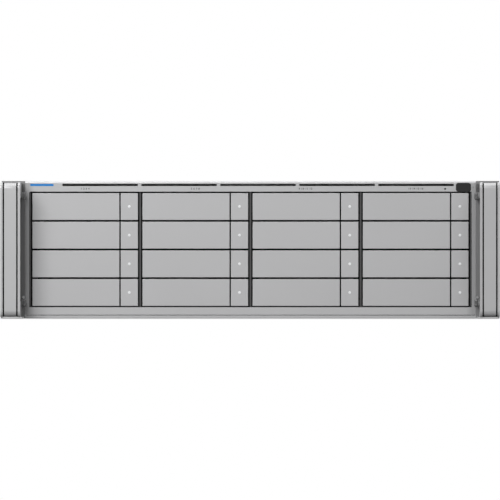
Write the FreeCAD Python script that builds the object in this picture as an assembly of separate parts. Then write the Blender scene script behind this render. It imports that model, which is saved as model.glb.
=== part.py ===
import FreeCAD, Part
import math
import os

V = FreeCAD.Vector

# Rack storage server, three units tall: sixteen drive bays in front, fans, ports and power modules behind.
# Millimetres. X runs right, Y runs from front to rear, Z runs up.
# The origin is the middle of the footprint. Depths are counted backwards from the face of the bezel.

# Hard drive
DRIVE_W = 101.6
DRIVE_H = 26.1
DRIVE_L = 147.0
LID_INSET = 4.0
LID_STEP = 1.2
PLUG_W = 40.0
PLUG_H = 5.0
PLUG_D = 4.0

# Bay grid
ROWS = 4
COLS = 4
RAIL_T = 1.3
DIVIDER_T = 1.7
CAGE_WALL_T = 1.55
TRAY_FLOOR_T = 0.6

# Clearances
DRIVE_FIT = 0.2
TRAY_SIDE_GAP = 0.3
UNDER_TRAY = 0.3
OVER_DRIVE = 0.8
LEDGE_FIT = 0.2
STEM_FIT = 0.2
PIN_FIT = 0.05
LENS_FIT = 0.05
PLATE_GAP = 0.3
PORT_FIT = 0.3
PSU_FIT = 0.3
LIP_FIT = 0.2

# Overlap of joined shapes, reach of a cut past the surface, and the tolerance for finding edges
ROOT = 0.5
PAST = 1.0
TINY = 1e-6

# Drive tray
FACE_SIDE_STEP = 1.05
FACE_ROW_GAP = 1.8
FACE_T = 2.8
FACE_BEVEL = 0.3
BLOCK_AT = 5.0
BLOCK_D = 12.0
BLOCK_BACK_GAP = 1.0
RAIL_H = 17.0
RAIL_TAIL = 1.0
LEDGE_T = 1.2
LEDGE_REACH = 0.8
LEDGE_UP = 7.0
GROOVE_D = 0.7
FLOOR_RIM = 9.0
FLOOR_WINDOWS = 1
BLOCK_WINDOWS = 2
WINDOW_W = 27.0
WINDOW_H = 17.0
WINDOW_PITCH = 30.0
WINDOW_START = 17.0

# Ejector lever and release button
BUTTON_W = 16.7
LEVER_GAP = 1.3
PIVOT_IN = 8.0
PIVOT_DEEP = 4.6
BARREL_R = 2.0
BARREL_H = 19.0
PEG_R = 0.9
PEG_L = 4.0
SMALL_ROUND = 8
LUG_T = 3.0
LUG_FRONT = 1.1
LUG_W = 4.6
HEEL_DEPTH = 11.7
TONGUE_IN = 6.0
TONGUE_T = 2.4
TONGUE_H = 8.0
TONGUE_L = 6.0
HOOK_T = 1.4
TONGUE_ROOM = 0.8
STEM_W = 8.0
STEM_H = 10.0
STEM_L = 8.0
LIGHT_R = 1.2
LIGHT_D = 2.0
LIGHT_SIDES = 8

# Front bezel
BASE_HEM = 2.75
PARTING_GAP = 0.4
BEZEL_LOW = 7.57
OPENING_FOOT = 0.3
OPENING_HEAD = 0.55
BEZEL_HIGH = 8.58
COVER_HEM = 1.75
BEZEL_SIDE = 4.2
BEZEL_D = 12.0
BEZEL_FACE_T = 2.5
BEZEL_RETURN_T = 1.2
BEZEL_BEVEL = 0.3
VENTS = 5
VENT_W = 73.1
VENT_H = 2.0
VENT_PITCH = 76.6
VENT_UP = 5.5
VENT_AFTER_BAR = 8.7
BAR_W = 22.5
BAR_H = 2.1
BAR_IN = 5.2
BAR_D = 2.4
SCREEN_W = 14.5
SCREEN_IN = 4.9
SCREEN_R = 2.3
SCREEN_T = 0.5
SCREEN_EDGE = 0.1
SCREEN_PLUG_W = 10.0
SCREEN_PLUG_H = 4.4
PINHOLE_R = 0.95
PINHOLE_IN = 29.8
PINHOLE_UP = 2.7
SENSOR_R = 0.6
SENSOR_IN = 2.6
SENSOR_UP = 3.9
SENSOR_D = 1.0

# Drive cage and backplane
CAGE_FRONT = 2.0
CAGE_PLATE_T = 1.2
CAGE_NOSE_GAP = 0.2
BOARD_T = 1.6
BACKPLANE_GAP = 4.5
PLUG_MATE_GAP = 1.2
BACKPLANE_EDGE = 2.0
AIR_W = 74.0
AIR_H = 14.0
AIR_UP = 9.5
AIR_ROWS = 2

# Chassis
CHASSIS_D = 480.0
SHEET = 1.2
HEM_D = 7.0
HEM_ROUND = 0.4
COVER_ROUND = 1.4
COVER_EDGE = 0.3
LIP_H = 9.0
LIP_T = 1.1
LIP_IN = 30.0

# Rack ears and handles
EAR_W = 22.6
FLANGE_AT = -1.0
FLANGE_T = 3.0
EAR_PLATE_T = 2.0
EAR_PLATE_D = 62.0
EAR_PLATE_EDGE = 8.0
HANDLE_W = 19.3
HANDLE_REACH = 37.0
HANDLE_ROUND = 5.5
HANDLE_END = 1.6
HANDLE_FRONT_T = 5.0
HANDLE_WALL_T = 3.0
HANDLE_LEG_H = 16.5
RIB_W = 2.4
RIB_PROUD = 0.5
GROOVE_W = 1.4
GROOVE_DEEP = 2.0
KNOB_R = 3.4
KNOB_L = 4.8
KNOB_UP = 14.8
KNOB_AT = -9.0
KNOB_SIDES = 12
RACK_HOLE_R = 3.4
RACK_HOLE_OUT = 13.85
RACK_HOLE_STEP = 88.9

# Rear fans
FAN_SIZE = 80.0
FAN_D = 25.0
FAN_X = 125.0
FAN_TOP_GAP = 3.0
FAN_CORNER = 4.0
FAN_BORE_R = 38.0
HUB_R = 17.0
STRUT_D = 4.0
STRUT_W = 4.0
STRUTS = 4
STRUT_TURN = 45.0
FAN_SIDES = 24
ROTOR_GAP = 0.5
ROTOR_D = 17.0
ROTOR_TIP_GAP = 1.5
SHAFT_R = 2.0
SHAFT_L = 3.0
BEARING_END = 0.5
BLADES = 5
BLADE_T = 1.6
BLADE_CHORD = 22.0
BLADE_PITCH = 40.0
BLADE_ROOT = 2.0
GRILLE_R = 36.0
GRILLE_SLOT = 5.6
GRILLE_PITCH = 9.4
GRILLE_RIB = 4.0
VENT_FIELD = 6
VENT_FIELD_PITCH = 16.0
VENT_FIELD_H = 58.0

# Power modules
PSU_W = 73.5
PSU_H = 40.0
PSU_L = 185.0
PSU_COUNT = 2
PSU_SIDE = 8.0
PSU_SPACE = 4.0
PSU_BEVEL = 1.0
GUIDE_H = 9.0
INLET_W = 24.6
INLET_H = 16.8
INLET_D = 17.0
INLET_IN = 6.0
PULL_REACH = 20.0
PULL_W = 24.0
PULL_T = 4.0
PULL_H = 8.0
PULL_IN = 38.0
PULL_UP = 27.0
CATCH_W = 3.0
CATCH_H = 12.0
CATCH_REACH = 9.0
CATCH_IN = 3.0
PSU_SLOTS = 7
PSU_SLOT_W = 2.4
PSU_SLOT_PITCH = 4.6
PSU_SLOT_H = 11.0
PSU_SLOT_UP = 7.0
PSU_SLOT_D = 3.0

# Main board
BOARD_W = 250.0
BOARD_L = 222.0
BOARD_SIDE = 9.0
BOARD_REAR_GAP = 6.0
STANDOFF_H = 5.0
STANDOFF_R = 3.2
STANDOFF_SIDES = 6
STANDOFF_IN = 8.0
CHIP_SIZE = 40.0
CHIP_T = 2.2
CHIP_X = 60.0
CHIP_D = 80.0
SINK_SIZE = 72.0
SINK_BASE = 5.0
SINK_H = 28.0
SINK_FINS = 9
SINK_FIN_T = 2.4
MEMORY_SLOTS = 2
MEMORY_L = 133.0
MEMORY_H = 30.0
MEMORY_T = 1.4
SLOT_W = 6.5
SLOT_H = 7.0
SLOT_END = 4.0
MEMORY_X = 150.0
MEMORY_PITCH = 12.0
MEMORY_D = 40.0
JACKS = 2
JACK_W = 16.0
JACK_H = 13.5
JACK_L = 21.0
JACK_HOLE_W = 11.8
JACK_HOLE_H = 8.4
JACK_HOLE_D = 12.0
JACK_SILL = 3.0
JACK_X = 40.0
JACK_PITCH = 22.0
CAGES = 2
SFP_W = 15.0
SFP_H = 10.6
SFP_L = 48.0
SFP_WALL = 0.7
SFP_X = 100.0
SFP_PITCH = 22.0
IO_MARGIN = 4.0
IO_LAP = 3.0
IO_T = 0.8

# Sizes that follow from the ones above
TRAY_W = DRIVE_W + 2 * (RAIL_T + DRIVE_FIT)
PITCH_X = TRAY_W + 2 * TRAY_SIDE_GAP + DIVIDER_T
PITCH_Z = UNDER_TRAY + TRAY_FLOOR_T + DRIVE_H + OVER_DRIVE
FACE_W = TRAY_W - 2 * FACE_SIDE_STEP
FACE_H = PITCH_Z - FACE_ROW_GAP
FACE_Z = FACE_ROW_GAP / 2
LEVER_W = FACE_W - BUTTON_W - LEVER_GAP
PIVOT_X = PIVOT_IN - FACE_W / 2
MID_Z = PITCH_Z / 2
OPEN_X = (COLS * PITCH_X - DIVIDER_T) / 2 + CAGE_WALL_T
HALF_W = OPEN_X + BEZEL_SIDE
BEZEL_Z0 = BASE_HEM + PARTING_GAP
OPEN_Z0 = BEZEL_Z0 + BEZEL_LOW
BAY_Z0 = OPEN_Z0 + OPENING_FOOT
OPEN_Z1 = BAY_Z0 + ROWS * PITCH_Z + OPENING_HEAD
BEZEL_Z1 = OPEN_Z1 + BEZEL_HIGH
HEIGHT = BEZEL_Z1 + COVER_HEM
COVER_Z0 = HEIGHT - SHEET
DRIVE_AT = BLOCK_AT + BLOCK_D + BLOCK_BACK_GAP
TRAY_END = DRIVE_AT + DRIVE_L + RAIL_TAIL
CAGE_END = DRIVE_AT + DRIVE_L + BACKPLANE_GAP
CAGE_BODY = BEZEL_D
REAR_IN = CHASSIS_D - SHEET
FACE_Y = (HANDLE_REACH - CHASSIS_D - PULL_REACH) / 2
FAN_Z = COVER_Z0 - FAN_TOP_GAP - FAN_SIZE / 2
FAN_AT = REAR_IN - FAN_D
ROTOR_END = REAR_IN - STRUT_D - ROTOR_GAP
PSU_Z0 = SHEET + PSU_FIT
PSU_AT = CHASSIS_D - PSU_L
BOARD_X0 = -HALF_W + SHEET + BOARD_SIDE
BOARD_D1 = REAR_IN - BOARD_REAR_GAP
BOARD_D0 = BOARD_D1 - BOARD_L
BOARD_Z0 = SHEET + STANDOFF_H
BOARD_Z1 = BOARD_Z0 + BOARD_T


# Shape helpers
def block(x0, x1, d0, d1, z0, z1):
    return Part.makeBox(x1 - x0, d1 - d0, z1 - z0, V(x0, FACE_Y + d0, z0))


def centred(x, w, d0, d1, z0, z1):
    return block(x - w / 2, x + w / 2, d0, d1, z0, z1)


def side_prism(points, x0, x1):
    wire = Part.makePolygon([V(x0, FACE_Y + d, z) for d, z in points + points[:1]])
    return Part.Face(wire).extrude(V(x1 - x0, 0, 0))


def end_prism(points, d0, d1):
    wire = Part.makePolygon([V(x, FACE_Y + d0, z) for x, z in points + points[:1]])
    return Part.Face(wire).extrude(V(0, d1 - d0, 0))


def rod_y(x, z, r, d0, d1):
    return Part.makeCylinder(r, d1 - d0, V(x, FACE_Y + d0, z), V(0, 1, 0))


def facet_rod(sides, r, length, base, axis):
    turn = FreeCAD.Rotation(V(0, 0, 1), axis)
    ring = []
    for i in range(sides + 1):
        a = (i + 0.5) * 2 * math.pi / sides
        ring.append(base + turn.multVec(V(r * math.cos(a), r * math.sin(a), 0)))
    return Part.Face(Part.makePolygon(ring)).extrude(axis * length)


def peg_z(x, d, r, z0, z1):
    return facet_rod(SMALL_ROUND, r, z1 - z0, V(x, FACE_Y + d, z0), V(0, 0, 1))


def peg_y(x, z, r, d0, d1):
    return facet_rod(SMALL_ROUND, r, d1 - d0, V(x, FACE_Y + d0, z), V(0, 1, 0))


def joined(shapes):
    return shapes[0].multiFuse(shapes[1:]).removeSplitter()


def without(shape, tools):
    return shape.cut(Part.makeCompound(tools)).removeSplitter()


def edges_at_depth(shape, d):
    y = FACE_Y + d
    return [e for e in shape.Edges if all(abs(p.Point.y - y) < TINY for p in e.Vertexes)]


def bevelled_plate(x0, x1, z0, z1, thickness, bevel):
    plate = block(x0, x1, 0, thickness, z0, z1)
    return plate.makeChamfer(bevel, edges_at_depth(plate, 0))


def mirrored(shape):
    return shape.mirror(V(0, 0, 0), V(1, 0, 0))


def save(name, solids):
    Part.makeCompound(solids).exportStep("parts/" + name + ".step")


# One drive and its tray, drawn about the middle of a bay, with the bay's lower edge at zero height
def hard_drive():
    half = DRIVE_W / 2
    low = UNDER_TRAY + TRAY_FLOOR_T
    d0 = DRIVE_AT
    d1 = DRIVE_AT + DRIVE_L
    casting = block(-half, half, d0, d1, low, low + DRIVE_H - LID_STEP)
    lid = block(-half + LID_INSET, half - LID_INSET, d0 + LID_INSET, d1 - LID_INSET,
                low + DRIVE_H - LID_STEP, low + DRIVE_H)
    plug = centred(0, PLUG_W, d1 - PLUG_D, d1 + PAST, low - PAST, low + PLUG_H)
    return without(joined([casting, lid]), [plug])


def tray_rail(side):
    outer = TRAY_W / 2
    inner = outer - RAIL_T
    low = UNDER_TRAY
    high = UNDER_TRAY + RAIL_H
    slot0 = LEDGE_UP - LEDGE_FIT
    slot1 = LEDGE_UP + LEDGE_T + LEDGE_FIT
    web = outer - GROOVE_D
    profile = [(inner, low), (outer, low), (outer, slot0), (web, slot0),
               (web, slot1), (outer, slot1), (outer, high), (inner, high)]
    return end_prism([(side * x, z) for x, z in profile], BLOCK_AT + BLOCK_D, TRAY_END)


def tray_floor():
    half = TRAY_W / 2
    d0 = BLOCK_AT + BLOCK_D
    plate = block(-half, half, d0, TRAY_END, UNDER_TRAY, UNDER_TRAY + TRAY_FLOOR_T)
    step = (TRAY_END - d0 - FLOOR_RIM) / FLOOR_WINDOWS
    holes = []
    for i in range(FLOOR_WINDOWS):
        start = d0 + FLOOR_RIM + i * step
        holes.append(block(-half + FLOOR_RIM, half - FLOOR_RIM, start, start + step - FLOOR_RIM,
                           UNDER_TRAY - PAST, UNDER_TRAY + TRAY_FLOOR_T + PAST))
    return plate.cut(Part.makeCompound(holes))


def tray_block():
    half = TRAY_W / 2
    d1 = BLOCK_AT + BLOCK_D
    high = PITCH_Z - OVER_DRIVE
    body = block(-half, half, BLOCK_AT, d1, UNDER_TRAY, high)
    lug_x0 = PIVOT_X - LUG_FRONT
    lug_x1 = lug_x0 + LUG_W
    lug_low = MID_Z - BARREL_H / 2 - PLATE_GAP
    lug_high = MID_Z + BARREL_H / 2 + PLATE_GAP
    lug_front = PIVOT_DEEP - LUG_FRONT
    lugs = [block(lug_x0, lug_x1, lug_front, d1, lug_low - LUG_T, lug_low),
            block(lug_x0, lug_x1, lug_front, d1, lug_high, lug_high + LUG_T)]
    pegs = [peg_z(PIVOT_X, PIVOT_DEEP, PEG_R, lug_low, lug_low + PEG_L),
            peg_z(PIVOT_X, PIVOT_DEEP, PEG_R, lug_high - PEG_L, lug_high)]
    heel = block(-half - PAST, lug_x0, BLOCK_AT - PAST, HEEL_DEPTH, -PAST, PITCH_Z)
    barrel_room = block(lug_x0 - PAST, lug_x1, BLOCK_AT - PAST, HEEL_DEPTH, lug_low, lug_high)
    stem_x = (FACE_W - BUTTON_W) / 2
    stem_room = centred(stem_x, STEM_W + 2 * STEM_FIT, BLOCK_AT - PAST, d1 + PAST,
                        MID_Z - STEM_H / 2 - STEM_FIT, MID_Z + STEM_H / 2 + STEM_FIT)
    lever_end = LEVER_W - FACE_W / 2
    tongue_room = block(lever_end - TONGUE_IN - TONGUE_ROOM, lever_end + TONGUE_ROOM,
                        BLOCK_AT - PAST, FACE_T + TONGUE_L + TONGUE_ROOM,
                        MID_Z - TONGUE_H / 2 - TONGUE_ROOM, MID_Z + TONGUE_H / 2 + TONGUE_ROOM)
    windows = []
    for i in range(BLOCK_WINDOWS):
        x = -half + WINDOW_START + WINDOW_W / 2 + i * WINDOW_PITCH
        windows.append(centred(x, WINDOW_W, BLOCK_AT - PAST, d1 + PAST,
                               MID_Z - WINDOW_H / 2, MID_Z + WINDOW_H / 2))
    body = without(body, [heel, barrel_room, stem_room, tongue_room] + windows)
    return joined([body] + lugs + pegs)


def drive_tray():
    carrier = joined([tray_block(), tray_rail(-1), tray_rail(1), tray_floor()])
    return [carrier, hard_drive()]


def tray_lever():
    x0 = -FACE_W / 2
    x1 = x0 + LEVER_W
    plate = bevelled_plate(x0, x1, FACE_Z, FACE_Z + FACE_H, FACE_T, FACE_BEVEL)
    low = MID_Z - BARREL_H / 2
    high = MID_Z + BARREL_H / 2
    barrel = peg_z(PIVOT_X, PIVOT_DEEP, BARREL_R, low, high)
    web = centred(PIVOT_X, 2 * BARREL_R, FACE_T - ROOT, PIVOT_DEEP, low, high)
    tongue = block(x1 - TONGUE_IN, x1 - TONGUE_IN + TONGUE_T, FACE_T - ROOT, FACE_T + TONGUE_L,
                   MID_Z - TONGUE_H / 2, MID_Z + TONGUE_H / 2)
    hook = block(x1 - TONGUE_IN, x1 - HOOK_T, FACE_T + TONGUE_L - HOOK_T, FACE_T + TONGUE_L,
                 MID_Z - TONGUE_H / 2, MID_Z + TONGUE_H / 2)
    bore_r = (PEG_R + PIN_FIT) / math.cos(math.pi / SMALL_ROUND)
    bore = peg_z(PIVOT_X, PIVOT_DEEP, bore_r, low - PAST, high + PAST)
    return [without(joined([plate, web, barrel, tongue, hook]), [bore])]


def release_button():
    x1 = FACE_W / 2
    x0 = x1 - BUTTON_W
    mid_x = (x0 + x1) / 2
    plate = bevelled_plate(x0, x1, FACE_Z, FACE_Z + FACE_H, FACE_T, FACE_BEVEL)
    stem = centred(mid_x, STEM_W, FACE_T - ROOT, FACE_T + STEM_L, MID_Z - STEM_H / 2, MID_Z + STEM_H / 2)
    hole = facet_rod(LIGHT_SIDES, LIGHT_R, LIGHT_D + PAST, V(mid_x, FACE_Y - PAST, MID_Z), V(0, 1, 0))
    lens = facet_rod(LIGHT_SIDES, LIGHT_R - LENS_FIT, LIGHT_D, V(mid_x, FACE_Y, MID_Z), V(0, 1, 0))
    return [without(joined([plate, stem]), [hole]), lens]


# Front bezel, screen and light bar
def front_bezel():
    face = block(-HALF_W, HALF_W, 0, BEZEL_FACE_T, BEZEL_Z0, BEZEL_Z1)
    face = face.makeChamfer(BEZEL_BEVEL, edges_at_depth(face, 0))
    sides = [block(s * OPEN_X if s > 0 else -HALF_W, HALF_W if s > 0 else -OPEN_X,
                   BEZEL_FACE_T - ROOT, BEZEL_D, BEZEL_Z0, BEZEL_Z1) for s in (-1, 1)]
    returns = [block(-HALF_W, HALF_W, BEZEL_FACE_T - ROOT, BEZEL_D, OPEN_Z0 - BEZEL_RETURN_T, OPEN_Z0),
               block(-HALF_W, HALF_W, BEZEL_FACE_T - ROOT, BEZEL_D, OPEN_Z1, OPEN_Z1 + BEZEL_RETURN_T),
               block(-HALF_W, HALF_W, BEZEL_FACE_T - ROOT, BEZEL_D, BEZEL_Z0, BEZEL_Z0 + BEZEL_RETURN_T)]
    window = block(-OPEN_X, OPEN_X, -PAST, BEZEL_D + PAST, OPEN_Z0, OPEN_Z1)
    behind = BEZEL_FACE_T + PAST
    cuts = [window, centred(bar_x(), BAR_W, -PAST, behind, bar_z() - BAR_H / 2, bar_z() + BAR_H / 2)]
    vents_w = (VENTS - 1) * VENT_PITCH
    for i in range(VENTS):
        x = vent_mid() - vents_w / 2 + i * VENT_PITCH
        cuts.append(centred(x, VENT_W, -PAST, behind, bar_z() - VENT_H / 2, bar_z() + VENT_H / 2))
    cuts.append(centred(screen_x(), SCREEN_PLUG_W, -PAST, behind,
                        screen_z() - SCREEN_PLUG_H / 2, screen_z() + SCREEN_PLUG_H / 2))
    cuts.append(peg_y(HALF_W - PINHOLE_IN, OPEN_Z1 + PINHOLE_UP, PINHOLE_R, -PAST, behind))
    cuts.append(peg_y(HALF_W - SENSOR_IN, OPEN_Z1 + SENSOR_UP, SENSOR_R, -PAST, SENSOR_D))
    return [without(joined([face] + sides + returns), cuts)]


def bar_x():
    return -HALF_W + BAR_IN + BAR_W / 2


def bar_z():
    return OPEN_Z1 + VENT_UP + VENT_H / 2


def vent_mid():
    return bar_x() + BAR_W / 2 + VENT_AFTER_BAR + (VENTS - 1) * VENT_PITCH / 2 + VENT_W / 2


def screen_x():
    return HALF_W - SCREEN_IN - SCREEN_W / 2


def screen_z():
    return (OPEN_Z1 + BEZEL_Z1) / 2


def status_display():
    half = (BEZEL_HIGH - 2 * SCREEN_EDGE) / 2
    glass = centred(screen_x(), SCREEN_W, -SCREEN_T, 0, screen_z() - half, screen_z() + half)
    corners = [e for e in glass.Edges if abs(e.Vertexes[0].Y - e.Vertexes[1].Y) > SCREEN_T / 2]
    glass = glass.makeFillet(SCREEN_R, corners)
    plug = centred(screen_x(), SCREEN_PLUG_W, -SCREEN_T / 2, BEZEL_FACE_T,
                   screen_z() - SCREEN_PLUG_H / 2, screen_z() + SCREEN_PLUG_H / 2)
    bar = centred(bar_x(), BAR_W, 0, BAR_D, bar_z() - BAR_H / 2, bar_z() + BAR_H / 2)
    return [joined([glass, plug]), bar]


# Drive cage: outer walls that stand on the floor, two plates, three dividers and the backplane
def cage_wall(x, thickness, low, high, left, right):
    nose0 = OPEN_Z0 + CAGE_NOSE_GAP
    nose1 = OPEN_Z1 - CAGE_NOSE_GAP
    profile = [(CAGE_FRONT, nose0), (CAGE_BODY, nose0), (CAGE_BODY, low), (CAGE_END, low),
               (CAGE_END, high), (CAGE_BODY, high), (CAGE_BODY, nose1), (CAGE_FRONT, nose1)]
    wall = side_prism(profile, x - thickness / 2, x + thickness / 2)
    reach = thickness / 2 + LEDGE_REACH
    ledges = []
    for row in range(ROWS):
        z = bay_z(row) + LEDGE_UP
        ledges.append(block(x - left * reach, x + right * reach, DRIVE_AT, TRAY_END, z, z + LEDGE_T))
    return joined([wall] + ledges)


def bay_x(col):
    return (col - (COLS - 1) / 2) * PITCH_X


def bay_z(row):
    return BAY_Z0 + row * PITCH_Z


def drive_cage():
    inner_x = OPEN_X - CAGE_WALL_T
    outer_x = OPEN_X - CAGE_WALL_T / 2
    plates = [block(-inner_x, inner_x, CAGE_BODY, CAGE_END, OPEN_Z0 - CAGE_PLATE_T, OPEN_Z0),
              block(-inner_x, inner_x, CAGE_BODY, CAGE_END, OPEN_Z1, OPEN_Z1 + CAGE_PLATE_T)]
    walls = [cage_wall(-outer_x, CAGE_WALL_T, SHEET, OPEN_Z1 + CAGE_PLATE_T, 0, 1),
             cage_wall(outer_x, CAGE_WALL_T, SHEET, OPEN_Z1 + CAGE_PLATE_T, 1, 0)]
    for i in range(1, COLS):
        walls.append(cage_wall((i - COLS / 2) * PITCH_X, DIVIDER_T, OPEN_Z0, OPEN_Z1, 1, 1))
    return plates + walls + [backplane()]


def backplane():
    half = OPEN_X - BACKPLANE_EDGE
    board = block(-half, half, CAGE_END, CAGE_END + BOARD_T, OPEN_Z0, OPEN_Z1)
    plugs = []
    holes = []
    for row in range(ROWS):
        low = bay_z(row) + UNDER_TRAY + TRAY_FLOOR_T
        for col in range(COLS):
            x = bay_x(col)
            plugs.append(centred(x, PLUG_W, DRIVE_AT + DRIVE_L + PLUG_MATE_GAP, CAGE_END + BOARD_T / 2,
                                 low, low + PLUG_H))
            if row % AIR_ROWS == 0:
                holes.append(centred(x, AIR_W, CAGE_END - PAST, CAGE_END + BOARD_T + PAST,
                                     low + AIR_UP, low + AIR_UP + AIR_H))
    return joined([board.cut(Part.makeCompound(holes))] + plugs)


# Sheet chassis
def hem(z0, z1, low_round, high_round):
    strip = block(-HALF_W, HALF_W, 0, HEM_D, z0, z1)
    for z, r in ((z0, low_round), (z1, high_round)):
        edge = [e for e in edges_at_depth(strip, 0) if all(abs(p.Point.z - z) < TINY for p in e.Vertexes)]
        strip = strip.makeFillet(r, edge)
    return strip


def grille(x):
    count = int(2 * GRILLE_R / GRILLE_PITCH)
    slots = []
    for i in range(count):
        off = (i - (count - 1) / 2) * GRILLE_PITCH
        reach = math.sqrt(GRILLE_R ** 2 - off ** 2)
        for low, high in ((-reach, -GRILLE_RIB / 2), (GRILLE_RIB / 2, reach)):
            slots.append(centred(x + off, GRILLE_SLOT, REAR_IN - PAST, CHASSIS_D + PAST,
                                 FAN_Z + low, FAN_Z + high))
    return slots


def vent_field():
    slots = []
    for i in range(VENT_FIELD):
        x = (i - (VENT_FIELD - 1) / 2) * VENT_FIELD_PITCH
        slots.append(centred(x, GRILLE_SLOT, REAR_IN - PAST, CHASSIS_D + PAST,
                             FAN_Z - VENT_FIELD_H / 2, FAN_Z + VENT_FIELD_H / 2))
    return slots


def psu_x(index):
    return HALF_W - SHEET - PSU_SIDE - PSU_W / 2 - index * (PSU_W + PSU_SPACE)


def jack_x(index):
    return BOARD_X0 + JACK_X + index * JACK_PITCH


def sfp_x(index):
    return BOARD_X0 + SFP_X + index * SFP_PITCH


def port_cuts(d0, d1):
    cuts = []
    for i in range(JACKS):
        cuts.append(centred(jack_x(i), JACK_W + 2 * PORT_FIT, d0, d1,
                            BOARD_Z1 - PORT_FIT, BOARD_Z1 + JACK_H + PORT_FIT))
    for i in range(CAGES):
        cuts.append(centred(sfp_x(i), SFP_W + 2 * PORT_FIT, d0, d1,
                            BOARD_Z1 - PORT_FIT, BOARD_Z1 + SFP_H + PORT_FIT))
    return cuts


def io_block(grow, d0, d1):
    left = jack_x(0) - JACK_W / 2 - IO_MARGIN - grow
    right = sfp_x(CAGES - 1) + SFP_W / 2 + IO_MARGIN + grow
    return block(left, right, d0, d1, BOARD_Z1 - 2 * PORT_FIT - grow, BOARD_Z1 + JACK_H + IO_MARGIN + grow)


def rear_panel():
    panel = block(SHEET - HALF_W, HALF_W - SHEET, REAR_IN, CHASSIS_D, SHEET, COVER_Z0)
    cuts = grille(-FAN_X) + grille(FAN_X) + vent_field()
    for i in range(PSU_COUNT):
        cuts.append(centred(psu_x(i), PSU_W + 2 * PSU_FIT, REAR_IN - PAST, CHASSIS_D + PAST,
                            0, PSU_Z0 + PSU_H + PSU_FIT))
    cuts.append(io_block(0, REAR_IN - PAST, CHASSIS_D + PAST))
    return without(panel, cuts)


def io_plate():
    plate = io_block(IO_LAP, REAR_IN - IO_T, REAR_IN)
    return without(plate, port_cuts(REAR_IN - IO_T - PAST, REAR_IN + PAST))


def chassis_base():
    floor = block(-HALF_W, HALF_W, HEM_D / 2, CHASSIS_D, 0, SHEET)
    sides = [block(-HALF_W, SHEET - HALF_W, BEZEL_D, CHASSIS_D, 0, COVER_Z0),
             block(HALF_W - SHEET, HALF_W, BEZEL_D, CHASSIS_D, 0, COVER_Z0)]
    guides = []
    for i in range(PSU_COUNT):
        for side in (-1, 1):
            x = psu_x(i) + side * (PSU_W / 2 + PSU_FIT + SHEET / 2)
            guides.append(centred(x, SHEET, PSU_AT, REAR_IN, SHEET, SHEET + GUIDE_H))
    posts = []
    for x in (BOARD_X0 + STANDOFF_IN, BOARD_X0 + BOARD_W / 2, BOARD_X0 + BOARD_W - STANDOFF_IN):
        for d in (BOARD_D0 + STANDOFF_IN, BOARD_D1 - STANDOFF_IN):
            foot = V(x, FACE_Y + d, SHEET)
            posts.append(facet_rod(STANDOFF_SIDES, STANDOFF_R, STANDOFF_H, foot, V(0, 0, 1)))
    return [joined([hem(0, BASE_HEM, HEM_ROUND, HEM_ROUND), floor] + sides), rear_panel()] + guides + posts


def top_cover():
    plate = block(-HALF_W, HALF_W, HEM_D / 2, CHASSIS_D, COVER_Z0, HEIGHT)
    lip_x = HALF_W - SHEET - LIP_FIT
    lips = [block(-lip_x, LIP_T - lip_x, LIP_IN, CHASSIS_D - LIP_IN, COVER_Z0 - LIP_H, COVER_Z0),
            block(lip_x - LIP_T, lip_x, LIP_IN, CHASSIS_D - LIP_IN, COVER_Z0 - LIP_H, COVER_Z0)]
    return [joined([hem(HEIGHT - COVER_HEM, HEIGHT, COVER_EDGE, COVER_ROUND), plate] + lips)]


# Rack ears: a bracket on the chassis side, a channel handle open towards the middle, and two knobs
def handle_face(inset, x):
    front = FACE_Y + inset - HANDLE_REACH
    back = FACE_Y + FLANGE_AT
    low = HANDLE_END + inset
    high = HEIGHT - low
    r = HANDLE_ROUND
    turn = r * (1 - math.sqrt(0.5))
    corners = [V(x, back, low), V(x, front + r, low), V(x, front, low + r),
               V(x, front, high - r), V(x, front + r, high), V(x, back, high)]
    edges = [Part.makeLine(corners[0], corners[1]),
             Part.Arc(corners[1], V(x, front + turn, low + turn), corners[2]).toShape(),
             Part.makeLine(corners[2], corners[3]),
             Part.Arc(corners[3], V(x, front + turn, high - turn), corners[4]).toShape(),
             Part.makeLine(corners[4], corners[5]),
             Part.makeLine(corners[5], corners[0])]
    return Part.Face(Part.Wire(edges))


def handle_prism(inset, x0, x1):
    return handle_face(inset, x0).extrude(V(x1 - x0, 0, 0))


def right_ear():
    outer = HALF_W + EAR_W
    inner = outer - HANDLE_W
    flange = block(HALF_W, outer, FLANGE_AT, FLANGE_AT + FLANGE_T, 0, HEIGHT)
    plate = block(HALF_W, HALF_W + EAR_PLATE_T, FLANGE_AT, EAR_PLATE_D,
                  EAR_PLATE_EDGE, HEIGHT - EAR_PLATE_EDGE)
    holes = [rod_y(HALF_W + RACK_HOLE_OUT, HEIGHT / 2 + s * RACK_HOLE_STEP / 2, RACK_HOLE_R,
                   FLANGE_AT - PAST, FLANGE_AT + FLANGE_T + PAST) for s in (-1, 1)]
    bracket = without(joined([flange, plate]), holes)
    body = handle_prism(RIB_PROUD, inner, outer)
    ribs = [handle_prism(0, inner, inner + RIB_W), handle_prism(0, outer - RIB_W, outer)]
    channel = block(inner - PAST, outer - HANDLE_WALL_T, HANDLE_FRONT_T - HANDLE_REACH, FLANGE_AT + PAST,
                    HANDLE_LEG_H, HEIGHT - HANDLE_LEG_H)
    handle = without(joined([body] + ribs), [channel] + groove_cuts(inner, outer))
    knobs = [facet_rod(KNOB_SIDES, KNOB_R, KNOB_L, V(inner - KNOB_L, FACE_Y + KNOB_AT, z), V(1, 0, 0))
             for z in (KNOB_UP, HEIGHT - KNOB_UP)]
    return [bracket, handle] + knobs


def groove_cuts(inner, outer):
    cuts = []
    for x in (inner + RIB_W, outer - RIB_W - GROOVE_W):
        shell = handle_prism(-PAST, x, x + GROOVE_W)
        core = handle_prism(RIB_PROUD + GROOVE_DEEP, x - PAST, x + GROOVE_W + PAST)
        cuts.append(shell.cut(core))
    return cuts


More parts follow.
